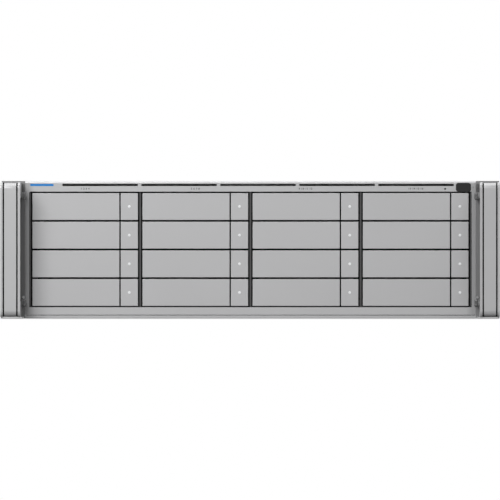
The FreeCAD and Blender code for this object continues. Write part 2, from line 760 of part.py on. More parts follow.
def rack_ears():
    right = right_ear()
    return right + [mirrored(s) for s in right]


# Fans
def fan_rod(x, r, d0, d1):
    return facet_rod(FAN_SIDES, r, d1 - d0, V(x, FACE_Y + d0, FAN_Z), V(0, 1, 0))


def fan_frame(x):
    half = FAN_SIZE / 2
    body = block(x - half, x + half, FAN_AT, REAR_IN, FAN_Z - half, FAN_Z + half)
    body = body.makeChamfer(FAN_CORNER, [e for e in body.Edges if abs(e.Length - FAN_D) < TINY])
    body = body.cut(fan_rod(x, FAN_BORE_R, FAN_AT - PAST, REAR_IN + PAST))
    motor = fan_rod(x, HUB_R, REAR_IN - STRUT_D, REAR_IN)
    struts = []
    for i in range(STRUTS):
        strut = centred(x, STRUT_W, REAR_IN - STRUT_D, REAR_IN, FAN_Z, FAN_Z + FAN_BORE_R + ROOT)
        strut.rotate(V(x, 0, FAN_Z), V(0, 1, 0), STRUT_TURN + i * 360 / STRUTS)
        struts.append(strut)
    bearing_r = (SHAFT_R + PIN_FIT) / math.cos(math.pi / SMALL_ROUND)
    bearing = peg_y(x, FAN_Z, bearing_r, REAR_IN - STRUT_D - PAST,
                    REAR_IN - STRUT_D + SHAFT_L + BEARING_END)
    return without(joined([body, motor] + struts), [bearing])


def fan_rotor(x):
    d0 = ROTOR_END - ROTOR_D
    tip_r = FAN_BORE_R - ROTOR_TIP_GAP
    hub = fan_rod(x, HUB_R, d0, ROTOR_END)
    shaft = peg_y(x, FAN_Z, SHAFT_R, ROTOR_END - ROOT, REAR_IN - STRUT_D + SHAFT_L)
    mid = FACE_Y + (d0 + ROTOR_END) / 2
    blades = []
    for i in range(BLADES):
        corner = V(HUB_R - BLADE_ROOT, -BLADE_T / 2, -BLADE_CHORD / 2)
        blade = Part.makeBox(tip_r, BLADE_T, BLADE_CHORD, corner)
        blade.rotate(V(0, 0, 0), V(1, 0, 0), 90 - BLADE_PITCH)
        blade.rotate(V(0, 0, 0), V(0, 1, 0), i * 360 / BLADES)
        blade.translate(V(x, mid, FAN_Z))
        blades.append(blade)
    reach = fan_rod(x, tip_r, d0, ROTOR_END)
    return [joined([hub, shaft] + [b.common(reach) for b in blades])]


# Power modules
def psu_module(index):
    x = psu_x(index)
    x0 = x - PSU_W / 2
    z0 = PSU_Z0
    body = block(x0, x0 + PSU_W, PSU_AT, CHASSIS_D, z0, z0 + PSU_H)
    body = body.makeChamfer(PSU_BEVEL, [e for e in body.Edges if abs(e.Length - PSU_L) < TINY])
    inlet_z = z0 + PSU_H / 2
    cuts = [block(x0 + INLET_IN, x0 + INLET_IN + INLET_W, CHASSIS_D - INLET_D, CHASSIS_D + PAST,
                  inlet_z - INLET_H / 2, inlet_z + INLET_H / 2)]
    for i in range(PSU_SLOTS):
        sx = x0 + PULL_IN + i * PSU_SLOT_PITCH
        cuts.append(block(sx, sx + PSU_SLOT_W, CHASSIS_D - PSU_SLOT_D, CHASSIS_D + PAST,
                          z0 + PSU_SLOT_UP, z0 + PSU_SLOT_UP + PSU_SLOT_H))
    body = without(body, cuts)
    p0 = x0 + PULL_IN
    low = z0 + PULL_UP
    pull = block(p0, p0 + PULL_W, CHASSIS_D, CHASSIS_D + PULL_REACH, low, low + PULL_H)
    gap = block(p0 + PULL_T, p0 + PULL_W - PULL_T, CHASSIS_D - PAST, CHASSIS_D + PULL_REACH - PULL_T,
                low - PAST, low + PULL_H + PAST)
    pull = pull.makeChamfer(PULL_T / 2, [e for e in edges_at_depth(pull, PULL_REACH + CHASSIS_D)
                                         if abs(e.Length - PULL_H) < TINY]).cut(gap)
    c1 = x0 + PSU_W - CATCH_IN
    catch_z = z0 + PULL_UP
    catch = block(c1 - CATCH_W, c1, CHASSIS_D, CHASSIS_D + CATCH_REACH,
                  catch_z - CATCH_H / 2, catch_z + CATCH_H / 2)
    return [body, pull, catch]


# Main board with its heat sink, memory and rear ports
def heat_sink(x, d):
    x0 = x - SINK_SIZE / 2
    z0 = BOARD_Z1 + CHIP_T
    pitch = (SINK_SIZE - SINK_FIN_T) / (SINK_FINS - 1)
    profile = [(x0 + SINK_SIZE, z0), (x0, z0)]
    for i in range(SINK_FINS):
        left = x0 + i * pitch
        right = left + SINK_FIN_T
        profile += [(left, z0 + SINK_BASE), (left, z0 + SINK_H),
                    (right, z0 + SINK_H), (right, z0 + SINK_BASE)]
    return end_prism(profile[:2] + profile[3:-1], d - SINK_SIZE / 2, d + SINK_SIZE / 2)


def mainboard():
    board = block(BOARD_X0, BOARD_X0 + BOARD_W, BOARD_D0, BOARD_D1, BOARD_Z0, BOARD_Z1)
    x = BOARD_X0 + CHIP_X
    d = BOARD_D0 + CHIP_D
    chip = centred(x, CHIP_SIZE, d - CHIP_SIZE / 2, d + CHIP_SIZE / 2, BOARD_Z1, BOARD_Z1 + CHIP_T)
    solids = [board, chip, heat_sink(x, d)]
    for i in range(MEMORY_SLOTS):
        mx = BOARD_X0 + MEMORY_X + i * MEMORY_PITCH
        m0 = BOARD_D0 + MEMORY_D
        slot = centred(mx, SLOT_W, m0 - SLOT_END, m0 + MEMORY_L + SLOT_END, BOARD_Z1, BOARD_Z1 + SLOT_H)
        card = centred(mx, MEMORY_T, m0, m0 + MEMORY_L, BOARD_Z1 + SLOT_H, BOARD_Z1 + SLOT_H + MEMORY_H)
        solids.append(joined([slot, card]))
    for i in range(JACKS):
        jx = jack_x(i)
        shell = centred(jx, JACK_W, CHASSIS_D - JACK_L, CHASSIS_D, BOARD_Z1, BOARD_Z1 + JACK_H)
        hole = centred(jx, JACK_HOLE_W, CHASSIS_D - JACK_HOLE_D, CHASSIS_D + PAST,
                       BOARD_Z1 + JACK_SILL, BOARD_Z1 + JACK_SILL + JACK_HOLE_H)
        solids.append(shell.cut(hole))
    for i in range(CAGES):
        sx = sfp_x(i)
        shell = centred(sx, SFP_W, CHASSIS_D - SFP_L, CHASSIS_D, BOARD_Z1, BOARD_Z1 + SFP_H)
        hole = centred(sx, SFP_W - 2 * SFP_WALL, CHASSIS_D - SFP_L + SFP_WALL, CHASSIS_D + PAST,
                       BOARD_Z1 + SFP_WALL, BOARD_Z1 + SFP_H - SFP_WALL)
        solids.append(shell.cut(hole))
    return solids + [io_plate()]


# Writing every node
os.makedirs("parts", exist_ok=True)
save("chassis_base", chassis_base())
save("top_cover", top_cover())
save("front_bezel", front_bezel())
save("status_display", status_display())
save("drive_cage", drive_cage())
save("mainboard", mainboard())
save("rack_ears", rack_ears())
save("fan_frames", [fan_frame(-FAN_X), fan_frame(FAN_X)])
save("fan_rotor_1", fan_rotor(-FAN_X))
save("fan_rotor_2", fan_rotor(FAN_X))
for i in range(PSU_COUNT):
    save("psu_module_" + str(i + 1), psu_module(i))
bay_parts = {"drive_tray": drive_tray(), "tray_lever": tray_lever(), "release_button": release_button()}
for row in range(ROWS):
    for col in range(COLS):
        place = V(bay_x(col), 0, bay_z(ROWS - 1 - row))
        for name, solids in bay_parts.items():
            save(name + "_" + str(row + 1) + str(col + 1), [s.translated(place) for s in solids])
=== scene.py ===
import math

import bpy
from mathutils import Matrix, Vector


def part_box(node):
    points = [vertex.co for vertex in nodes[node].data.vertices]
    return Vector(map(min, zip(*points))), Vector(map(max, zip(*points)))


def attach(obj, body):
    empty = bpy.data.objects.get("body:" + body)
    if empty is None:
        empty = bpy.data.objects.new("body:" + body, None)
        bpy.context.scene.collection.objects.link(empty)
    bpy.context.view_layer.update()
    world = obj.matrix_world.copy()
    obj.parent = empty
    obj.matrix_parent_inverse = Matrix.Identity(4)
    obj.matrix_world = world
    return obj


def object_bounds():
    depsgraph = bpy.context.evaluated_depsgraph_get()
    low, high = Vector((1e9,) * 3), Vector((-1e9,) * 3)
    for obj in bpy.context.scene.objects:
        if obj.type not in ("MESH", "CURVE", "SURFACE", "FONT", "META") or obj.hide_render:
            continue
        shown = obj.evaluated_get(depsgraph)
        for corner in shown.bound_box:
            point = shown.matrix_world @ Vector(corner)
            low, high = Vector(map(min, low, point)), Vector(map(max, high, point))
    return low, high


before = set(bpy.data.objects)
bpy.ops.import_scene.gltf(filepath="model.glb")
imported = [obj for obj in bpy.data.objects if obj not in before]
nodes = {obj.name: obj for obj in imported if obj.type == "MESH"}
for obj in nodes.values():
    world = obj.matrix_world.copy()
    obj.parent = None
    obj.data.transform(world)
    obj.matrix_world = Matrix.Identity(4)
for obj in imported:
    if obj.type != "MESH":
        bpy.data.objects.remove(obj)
cad_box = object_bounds()
MM = 0.001
MICRONS = 1e6

# Directions that pieces face
FRONT = (0, -1, 0)
REAR = (0, 1, 0)
UP = (0, 0, 1)

# Grain of the materials: scales per metre, shares of a colour, and depths of the bumps
NOISE_LOW = 0.3
NOISE_HIGH = 0.7
CLOUD_DETAIL = 2.0
CLOUD_SHARE = 0.5
COOL = 0.012
METAL_CLOUD = 9.0
METAL_DETAIL = 4.0
METAL_SWING = 0.05
METAL_BUMP = 0.3
METAL_DEPTH = 0.02 * MM
PLASTIC_CLOUD = 14.0
PLASTIC_DETAIL = 2.0
PLASTIC_SWING = 0.07
PLASTIC_TINT = 0.15
PLASTIC_BUMP = 0.25
PLASTIC_DEPTH = 0.03 * MM
GLASS_BUMP = 0.05
GLASS_DEPTH = 0.002 * MM
SPANGLE_SCALE = 130.0
SPANGLE_DARK = 0.88
SPANGLE_PALE = 1.1
SPANGLE_SWING = 0.08
SPANGLE_GLOSS = 0.3
BOARD_CELLS = 70.0
BOARD_TRACE = 0.035
BOARD_PALE = 1.25
BOARD_GRAIN = 900.0
BOARD_ROUGH = (0.3, 0.45)
BOARD_BUMP = 0.2
BOARD_DEPTH = 0.03 * MM
GLOW_GRAIN = 600.0
GLOW_DETAIL = 1.0
GLOW_STOPS = (0.2, 0.8)
GLOW_ROUGH = 0.3
GLOW_GLOSS = 0.3


# Node material helpers
def start_material(name):
    m = bpy.data.materials.new(name)
    m.use_nodes = True
    tree = m.node_tree
    tree.nodes.clear()
    out = tree.nodes.new("ShaderNodeOutputMaterial")
    shader = tree.nodes.new("ShaderNodeBsdfPrincipled")
    tree.links.new(shader.outputs[0], out.inputs[0])
    return m, tree, shader


def place(tree, stretch=(1, 1, 1)):
    coord = tree.nodes.new("ShaderNodeTexCoord")
    mapping = tree.nodes.new("ShaderNodeMapping")
    mapping.inputs["Scale"].default_value = stretch
    tree.links.new(coord.outputs["Object"], mapping.inputs["Vector"])
    return mapping.outputs["Vector"]


def noise(tree, vector, scale, detail=3.0):
    n = tree.nodes.new("ShaderNodeTexNoise")
    n.inputs["Scale"].default_value = scale
    n.inputs["Detail"].default_value = detail
    tree.links.new(vector, n.inputs["Vector"])
    return n.outputs["Fac"]


def ramp(tree, value, low, high, from_low=NOISE_LOW, from_high=NOISE_HIGH):
    r = tree.nodes.new("ShaderNodeMapRange")
    r.inputs["From Min"].default_value = from_low
    r.inputs["From Max"].default_value = from_high
    r.inputs["To Min"].default_value = low
    r.inputs["To Max"].default_value = high
    tree.links.new(value, r.inputs["Value"])
    return r.outputs["Result"]


def colour_ramp(tree, value, stops):
    r = tree.nodes.new("ShaderNodeValToRGB")
    for e, (pos, c) in zip(r.color_ramp.elements, stops):
        e.position = pos
        e.color = (*c, 1)
    tree.links.new(value, r.inputs["Fac"])
    return r.outputs["Color"]


def bump(tree, shader, value, strength, distance):
    b = tree.nodes.new("ShaderNodeBump")
    b.inputs["Strength"].default_value = strength
    b.inputs["Distance"].default_value = distance
    tree.links.new(value, b.inputs["Height"])
    tree.links.new(b.outputs["Normal"], shader.inputs["Normal"])


def shade(colour, k):
    return tuple(min(1.0, c * k) for c in colour)


def grey(value):
    return (value, value, value * (1 + COOL))


# Brushed or painted metal with wide clouding and a fine grain
def metal(name, colour, metallic, rough, grain, stretch=(1, 1, 1), tint=0.03, gloss=0.5):
    m, tree, shader = start_material(name)
    vector = place(tree, stretch)
    wide = noise(tree, place(tree), METAL_CLOUD, CLOUD_DETAIL)
    fine = noise(tree, vector, grain, METAL_DETAIL)
    mix = tree.nodes.new("ShaderNodeMath")
    mix.operation = "ADD"
    tree.links.new(ramp(tree, wide, 0.0, CLOUD_SHARE), mix.inputs[0])
    tree.links.new(ramp(tree, fine, 0.0, 1 - CLOUD_SHARE), mix.inputs[1])
    stops = [(0.0, shade(colour, 1 - tint)), (1.0, shade(colour, 1 + tint))]
    tree.links.new(colour_ramp(tree, mix.outputs[0], stops), shader.inputs["Base Color"])
    tree.links.new(ramp(tree, fine, rough - METAL_SWING, rough + METAL_SWING), shader.inputs["Roughness"])
    shader.inputs["Metallic"].default_value = metallic
    shader.inputs["Specular IOR Level"].default_value = gloss
    bump(tree, shader, fine, METAL_BUMP, METAL_DEPTH)
    return m


# Painted shade: a material's colour darkened towards both ends of a wide piece, where the rack ears shade it
def paint_end_shade(m, start, end, keep):
    tree = m.node_tree
    shader = next(n for n in tree.nodes if n.type == "BSDF_PRINCIPLED")
    colour = shader.inputs["Base Color"].links[0].from_socket
    coord = tree.nodes.new("ShaderNodeTexCoord")
    axes = tree.nodes.new("ShaderNodeSeparateXYZ")
    tree.links.new(coord.outputs["Object"], axes.inputs["Vector"])
    reach = tree.nodes.new("ShaderNodeMath")
    reach.operation = "ABSOLUTE"
    tree.links.new(axes.outputs["X"], reach.inputs[0])
    scale = tree.nodes.new("ShaderNodeVectorMath")
    scale.operation = "SCALE"
    tree.links.new(colour, scale.inputs["Vector"])
    tree.links.new(ramp(tree, reach.outputs[0], 1.0, keep, start, end), scale.inputs["Scale"])
    tree.links.new(scale.outputs["Vector"], shader.inputs["Base Color"])
    return m


def plastic(name, colour, rough, grain, depth=PLASTIC_DEPTH, strength=PLASTIC_BUMP, gloss=0.5):
    m, tree, shader = start_material(name)
    vector = place(tree)
    wide = noise(tree, vector, PLASTIC_CLOUD, CLOUD_DETAIL)
    fine = noise(tree, vector, grain, PLASTIC_DETAIL)
    stops = [(NOISE_LOW, shade(colour, 1 - PLASTIC_TINT)), (NOISE_HIGH, shade(colour, 1 + PLASTIC_TINT))]
    tree.links.new(colour_ramp(tree, wide, stops), shader.inputs["Base Color"])
    tree.links.new(ramp(tree, fine, rough - PLASTIC_SWING, rough + PLASTIC_SWING), shader.inputs["Roughness"])
    shader.inputs["Specular IOR Level"].default_value = gloss
    bump(tree, shader, fine, strength, depth)
    return m


# Zinc-coated sheet, with the cells of the coating
def spangled(name, colour, metallic, rough):
    m, tree, shader = start_material(name)
    cells = tree.nodes.new("ShaderNodeTexVoronoi")
    cells.inputs["Scale"].default_value = SPANGLE_SCALE
    tree.links.new(place(tree), cells.inputs["Vector"])
    tone = tree.nodes.new("ShaderNodeSeparateColor")
    tree.links.new(cells.outputs["Color"], tone.inputs["Color"])
    stops = [(0.0, shade(colour, SPANGLE_DARK)), (1.0, shade(colour, SPANGLE_PALE))]
    tree.links.new(colour_ramp(tree, tone.outputs[0], stops), shader.inputs["Base Color"])
    uneven = ramp(tree, tone.outputs[1], rough - SPANGLE_SWING, rough + SPANGLE_SWING, 0, 1)
    tree.links.new(uneven, shader.inputs["Roughness"])
    shader.inputs["Metallic"].default_value = metallic
    shader.inputs["Specular IOR Level"].default_value = SPANGLE_GLOSS
    return m


# Circuit board with a grid of traces
def circuit(name, colour, trace):
    m, tree, shader = start_material(name)
    vector = place(tree)
    bricks = tree.nodes.new("ShaderNodeTexBrick")
    bricks.inputs["Scale"].default_value = BOARD_CELLS
    bricks.inputs["Mortar Size"].default_value = BOARD_TRACE
    bricks.inputs["Color1"].default_value = (*colour, 1)
    bricks.inputs["Color2"].default_value = (*shade(colour, BOARD_PALE), 1)
    bricks.inputs["Mortar"].default_value = (*trace, 1)
    tree.links.new(vector, bricks.inputs["Vector"])
    tree.links.new(bricks.outputs["Color"], shader.inputs["Base Color"])
    uneven = ramp(tree, noise(tree, vector, BOARD_GRAIN), *BOARD_ROUGH)
    tree.links.new(uneven, shader.inputs["Roughness"])
    bump(tree, shader, bricks.outputs["Fac"], BOARD_BUMP, BOARD_DEPTH)
    return m


# Lit plastic, a little darker in places
def glow(name, colour, strength, dark):
    m, tree, shader = start_material(name)
    value = noise(tree, place(tree), GLOW_GRAIN, GLOW_DETAIL)
    stops = list(zip(GLOW_STOPS, (shade(colour, dark), colour)))
    tree.links.new(colour_ramp(tree, value, stops), shader.inputs["Base Color"])
    tree.links.new(colour_ramp(tree, value, stops), shader.inputs["Emission Color"])
    shader.inputs["Emission Strength"].default_value = strength
    shader.inputs["Roughness"].default_value = GLOW_ROUGH
    shader.inputs["Specular IOR Level"].default_value = GLOW_GLOSS
    return m


# Metals
face_metal = metal("silver_face", grey(0.47), metallic=0.12, rough=0.48, grain=2600.0)
bezel_painted_end_shade = metal("silver_bezel_painted_end_shade", grey(0.47), metallic=0.12, rough=0.48, grain=2600.0)
# The bezel's colour has painted shade towards its ends, beside the rack ears
paint_end_shade(bezel_painted_end_shade, start=209.5 * MM, end=215.5 * MM, keep=0.74)
# Painted highlight: a brighter copy of the face metal, for front bevels and edges
edge_painted_highlight = metal("silver_edge_painted_highlight", grey(0.66), metallic=0.3, rough=0.36, grain=2600.0, tint=0.05)
ear_metal = metal("silver_ear", grey(0.44), metallic=0.2, rough=0.44, grain=2600.0)
bracket_metal = metal("bracket_metal", grey(0.2), metallic=0.2, rough=0.48, grain=1900.0, tint=0.05)
# Painted highlight: a brighter copy of the ear metal, for the top rounding of the handles
crown_painted_highlight = metal("silver_crown_painted_highlight", grey(0.7), metallic=0.12, rough=0.55, grain=2600.0, tint=0.04, gloss=0.4)
sheet_metal = metal("silver_sheet", grey(0.5), metallic=0.08, rough=0.62, grain=1800.0, tint=0.04, gloss=0.25)
dark_steel = metal("dark_steel", grey(0.045), metallic=0.15, rough=0.55, grain=900.0, stretch=(1, 8, 1),
                   tint=0.15)
knob_metal = metal("knob_metal", grey(0.11), metallic=0.6, rough=0.34, grain=1500.0, tint=0.12)
screw_metal = metal("screw_metal", grey(0.4), metallic=0.85, rough=0.32, grain=1400.0, tint=0.08)
bare_steel = spangled("bare_steel", (0.38, 0.39, 0.4), metallic=0.3, rough=0.56)
drive_cast = metal("drive_casting", grey(0.3), metallic=0.6, rough=0.5, grain=1600.0, tint=0.08)
drive_lid = metal("drive_lid", grey(0.36), metallic=0.08, rough=0.62, grain=500.0, stretch=(1, 14, 1),
                  tint=0.08, gloss=0.22)
fin_metal = metal("fin_metal", grey(0.35), metallic=0.8, rough=0.4, grain=700.0, stretch=(1, 10, 1),
                  tint=0.06)
port_metal = metal("port_metal", grey(0.45), metallic=0.6, rough=0.4, grain=900.0, tint=0.05)
gold_metal = metal("gold_metal", (0.55, 0.4, 0.13), metallic=0.95, rough=0.25, grain=1500.0, tint=0.06)

# Plastics, board, glass and lights
# Painted shade for the grooves of the ear handles
groove_shade = plastic("groove_shade", grey(0.01), rough=0.6, grain=1900.0, gloss=0.08)
black_plastic = plastic("black_plastic", grey(0.012), rough=0.5, grain=2200.0, gloss=0.35)
carrier_plastic = plastic("carrier_plastic", grey(0.005), rough=0.6, grain=2200.0, gloss=0.08)
green_board = circuit("green_board", colour=(0.012, 0.06, 0.028), trace=(0.03, 0.12, 0.05))
screen_glass = plastic("screen_glass", grey(0.02), rough=0.14, grain=300.0, depth=GLASS_DEPTH,
                       strength=GLASS_BUMP, gloss=0.25)
# Near-black: the reset plunger's own black, and painted shade in the bezel's depth, its pinhole and the gap
# over the base's hem
black_and_painted_shade = plastic("black_and_painted_shade", grey(0.006), rough=0.7, grain=900.0, gloss=0.1)
printed_ink = plastic("printed_ink", grey(0.05), rough=0.6, grain=2500.0, gloss=0.2)
green_catch = plastic("green_catch", (0.02, 0.16, 0.06), rough=0.4, grain=1500.0)
blue_glow = glow("blue_glow", (0.008, 0.175, 0.5), strength=0.24, dark=0.92)
white_glow = glow("white_glow", (0.78, 0.79, 0.8), strength=0.2, dark=0.95)
green_glow = glow("green_glow", (0.1, 0.55, 0.16), strength=0.3, dark=0.8)
amber_glow = glow("amber_glow", (0.6, 0.32, 0.04), strength=0.1, dark=0.8)


# The solids of a CAD node, each as its faces and the corners of its box
def islands(obj):
    mesh = obj.data
    parent = {}

    def find(a):
        while parent[a] != a:
            parent[a] = parent[parent[a]]
            a = parent[a]
        return a

    keys = [tuple(round(c * MICRONS) for c in v.co) for v in mesh.vertices]
    for k in keys:
        parent.setdefault(k, k)
    for p in mesh.polygons:
        first = find(keys[p.vertices[0]])
        for i in p.vertices[1:]:
            parent[find(keys[i])] = first
    groups = {}
    for p in mesh.polygons:
        groups.setdefault(find(keys[p.vertices[0]]), []).append(p)
    result = []
    for polygons in groups.values():
        points = [mesh.vertices[i].co for p in polygons for i in p.vertices]
        low = Vector([min(p[i] for p in points) for i in range(3)])
        high = Vector([max(p[i] for p in points) for i in range(3)])
        result.append((polygons, low, high))
    return result


# The materials of a node, of which the first covers all faces that get no other
def paint(obj, *materials):
    obj.data.materials.clear()
    for m in materials:
        obj.data.materials.append(m)


def colour_faces(obj, polygons, material):
    index = obj.data.materials.find(material.name)
    for p in polygons:
        p.material_index = index


WELD_REACH = 0.001 * MM


def soften(obj, width, segments=2, angle=25):
    weld = obj.modifiers.new("weld", "WELD")
    weld.merge_threshold = WELD_REACH
    b = obj.modifiers.new("edge_break", "BEVEL")
    b.width = width
    b.segments = segments
    b.limit_method = "ANGLE"
    b.angle_limit = math.radians(angle)
    b.harden_normals = True


# How far a face's normal points along an axis
ASIDE = 0.1
TOWARDS = 0.2
LEANING = 0.3
HALFWAY = 0.5
FACING = 0.9
SQUARE_ON = 0.95

# Front faces: edge breaks, bevels with a painted highlight, and the depth behind the bezel that lies in
# shade, painted near-black as painted shade
ROWS = 4
COLUMNS = 4
BAYS = [str(r) + str(c) for r in range(1, ROWS + 1) for c in range(1, COLUMNS + 1)]
FACE_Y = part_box("front_bezel")[0].y
BEZEL_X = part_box("front_bezel")[1].x
BEVEL_DEPTH = 0.6 * MM
EDGE_BREAK = 0.12 * MM
BEZEL_SHADE = 1.2 * MM
END_DEPTH = 0.1 * MM
PINHOLE_X = BEZEL_X - 29.8 * MM
PINHOLE_REACH = 1.0 * MM
PINHOLE_FACE = 1.0 * MM * MM

# Sizes that tell the solids of one node apart
LENS_MOST = 5.0 * MM
DRIVE_MOST = 103.0 * MM
LID_DEPTH = 0.1 * MM


def front_bevels(polygons):
    return [p for p in polygons if LEANING < -p.normal.y < SQUARE_ON and p.center.y < FACE_Y + BEVEL_DEPTH]


# Front bevels of the levers and buttons get a painted highlight
for bay in BAYS:
    lever = nodes["tray_lever_" + bay]
    paint(lever, face_metal, edge_painted_highlight)
    colour_faces(lever, front_bevels(lever.data.polygons), edge_painted_highlight)
    soften(lever, EDGE_BREAK)
    button = nodes["release_button_" + bay]
    paint(button, face_metal, edge_painted_highlight, white_glow)
    colour_faces(button, front_bevels(button.data.polygons), edge_painted_highlight)
    for polygons, low, high in islands(button):
        if (high - low).z < LENS_MOST:
            colour_faces(button, polygons, white_glow)
    soften(button, EDGE_BREAK)
    tray = nodes["drive_tray_" + bay]
    paint(tray, carrier_plastic, drive_cast, drive_lid)
    for polygons, low, high in islands(tray):
        if (high - low).x < DRIVE_MOST:
            colour_faces(tray, polygons, drive_cast)
            colour_faces(tray, [p for p in polygons if p.center.z > high.z - LID_DEPTH], drive_lid)


# Faces of the bezel that lie in shade, painted near-black as painted shade, its outer ends that don't, and
# the walls of its pinhole, painted near-black as painted shade too
def bezel_shade(p):
    return p.center.y > FACE_Y + BEZEL_SHADE or p.normal.z < -SQUARE_ON


def bezel_end(p):
    return abs(p.normal.x) > FACING and abs(p.center.x) > BEZEL_X - END_DEPTH


def pinhole_wall(p):
    near = abs(p.center.x - PINHOLE_X) < PINHOLE_REACH
    return near and p.area < PINHOLE_FACE and abs(p.normal.y) < ASIDE


bezel = nodes["front_bezel"]
paint(bezel, bezel_painted_end_shade, edge_painted_highlight, black_and_painted_shade)
# Front bevels of the bezel get a painted highlight
colour_faces(bezel, front_bevels(bezel.data.polygons), edge_painted_highlight)
colour_faces(bezel, [p for p in bezel.data.polygons if bezel_shade(p)], black_and_painted_shade)
colour_faces(bezel, [p for p in bezel.data.polygons if bezel_end(p)], bezel_painted_end_shade)
colour_faces(bezel, [p for p in bezel.data.polygons if pinhole_wall(p)], black_and_painted_shade)
soften(bezel, EDGE_BREAK)

# Cover and base
COVER_FRONT = FACE_Y + 3.0 * MM
HEM_BACK = FACE_Y + 4.0 * MM
HEM_TOP = 4.0 * MM
FITTING_MOST = 100.0 * MM
cover = nodes["top_cover"]
paint(cover, sheet_metal, edge_painted_highlight)
# The cover's front rim gets a painted highlight
rim = [p for p in cover.data.polygons if p.normal.y < -TOWARDS and p.center.y < COVER_FRONT]
colour_faces(cover, rim, edge_painted_highlight)
base = nodes["chassis_base"]
paint(base, sheet_metal, bare_steel, black_and_painted_shade)
for polygons, low, high in islands(base):
    if (high - low).x < FITTING_MOST:
        colour_faces(base, polygons, bare_steel)
    # The top of the base's front hem, in the gap under the bezel, is painted near-black as painted shade
    hem = [p for p in polygons if p.normal.z > FACING and p.center.y < HEM_BACK and p.center.z < HEM_TOP]
    colour_faces(base, hem, black_and_painted_shade)

# Rack ears
EAR_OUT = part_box("rack_ears")[1].x
HANDLE_W = 19.3 * MM
RIB_W = 2.4 * MM
GROOVE_W = 1.4 * MM
GROOVE_SLACK = 0.01 * MM
EAR_IN = EAR_OUT - HANDLE_W
KNOB_MOST = 10.0 * MM
BRACKET_LEAST = 50.0 * MM
EAR_BREAK = 0.6 * MM
EAR_STEPS = 3
EAR_ANGLE = 40


def is_knob(size):
    return size.z < KNOB_MOST


def is_bracket(size):
    return size.y > BRACKET_LEAST


ears = nodes["rack_ears"]
paint(ears, ear_metal, bracket_metal, groove_shade, knob_metal, crown_painted_highlight)
for polygons, low, high in islands(ears):
    if is_knob(high - low):
        colour_faces(ears, polygons, knob_metal)
        continue
    if is_bracket(high - low):
        colour_faces(ears, polygons, bracket_metal)
        continue
    # The handle's upward rounding gets the painted highlight
    crown_highlight_faces = [p for p in polygons if p.normal.y < -TOWARDS and p.normal.z > HALFWAY]
    colour_faces(ears, crown_highlight_faces, crown_painted_highlight)
    # The grooves get painted shade
    for groove in (EAR_IN + RIB_W, EAR_OUT - RIB_W - GROOVE_W):
        start = groove - GROOVE_SLACK
        end = groove + GROOVE_W + GROOVE_SLACK
        colour_faces(ears, [p for p in polygons if start < abs(p.center.x) < end], groove_shade)
soften(ears, EAR_BREAK, EAR_STEPS, EAR_ANGLE)

# Drive cage, with the backplane and its plugs
BACKPLANE_MOST = 20.0 * MM
BACKPLANE_T = 1.7 * MM
WALL_OUT = 200.0 * MM
WALL_MOST = 5.0 * MM
cage = nodes["drive_cage"]
paint(cage, dark_steel, green_board, black_plastic)
for polygons, low, high in islands(cage):
    size = high - low
    if size.y < BACKPLANE_MOST:
        colour_faces(cage, polygons, green_board)
        colour_faces(cage, [p for p in polygons if p.center.y < high.y - BACKPLANE_T], black_plastic)
    elif abs(low.x) > WALL_OUT and size.x < WALL_MOST:
        colour_faces(cage, [p for p in polygons if p.normal.y < -FACING], black_plastic)

# Fans and power modules
FANS = ("fan_rotor_1", "fan_rotor_2")
MODULES = ("psu_module_1", "psu_module_2")
MODULE_LEAST = 100.0 * MM
PULL_LEAST = 10.0 * MM
paint(nodes["fan_frames"], black_plastic)
for n in FANS:
    paint(nodes[n], black_plastic)


def module_material(size):
    if size.y > MODULE_LEAST:
        return bare_steel
    if size.x > PULL_LEAST:
        return black_plastic
    return green_catch


for n in MODULES:
    paint(nodes[n], bare_steel, black_plastic, green_catch)
    for polygons, low, high in islands(nodes[n]):
        colour_faces(nodes[n], polygons, module_material(high - low))

# Main board
PLATE_MOST = 2.0 * MM
BOARD_LEAST = 200.0 * MM
SINK_LEAST = 60.0 * MM
MEMORY_LEAST = 100.0 * MM
CHIP_MOST = 3.0 * MM


def board_material(size):
    if size.y < PLATE_MOST:
        return port_metal
    if size.x >= BOARD_LEAST:
        return green_board
    if size.x > SINK_LEAST:
        return fin_metal
    if size.y > MEMORY_LEAST or size.z < CHIP_MOST:
        return black_plastic
    return port_metal


board = nodes["mainboard"]
paint(board, green_board, black_plastic, fin_metal, port_metal)
for polygons, low, high in islands(board):
    colour_faces(board, polygons, board_material(high - low))

# Screen and light bar, of which the bar lies left of the middle
display = nodes["status_display"]
paint(display, screen_glass, blue_glow)
for polygons, low, high in islands(display):
    if low.x < 0:
        colour_faces(display, polygons, blue_glow)

# Sides of round pieces, and the angle above which an edge stays sharp
ROUND = 24
ROUND_SCREW = 32
ROUND_DISC = 48
ROUND_COLLAR = 48
ROUND_GRIP = 104
SHARP_ANGLE = 35


# Pieces made of rings of points
def ring(radius, height, count=ROUND, shape=None):
    points = []
    for i in range(count):
        a = 2 * math.pi * i / count
        r = radius * (shape(a) if shape else 1.0)
        points.append(Vector((r * math.cos(a), r * math.sin(a), height)))
    return points


def box_ring(w, d, height, corner):
    x = w / 2
    y = d / 2
    c = corner
    right = [(x, -y + c), (x, y - c), (x - c, y)]
    left = [(c - x, y), (-x, y - c), (-x, c - y)]
    front = [(c - x, -y), (x - c, -y)]
    return [Vector((px, py, height)) for px, py in right + left + front]


# Rings along a profile of steps in millimetres: radius and height, or width, depth, height and corner
def round_rings(profile, count=ROUND, shape=None):
    return [ring(r * MM, h * MM, count, shape) for r, h in profile]


def box_rings(profile):
    return [box_ring(w * MM, d * MM, h * MM, c * MM) for w, d, h, c in profile]


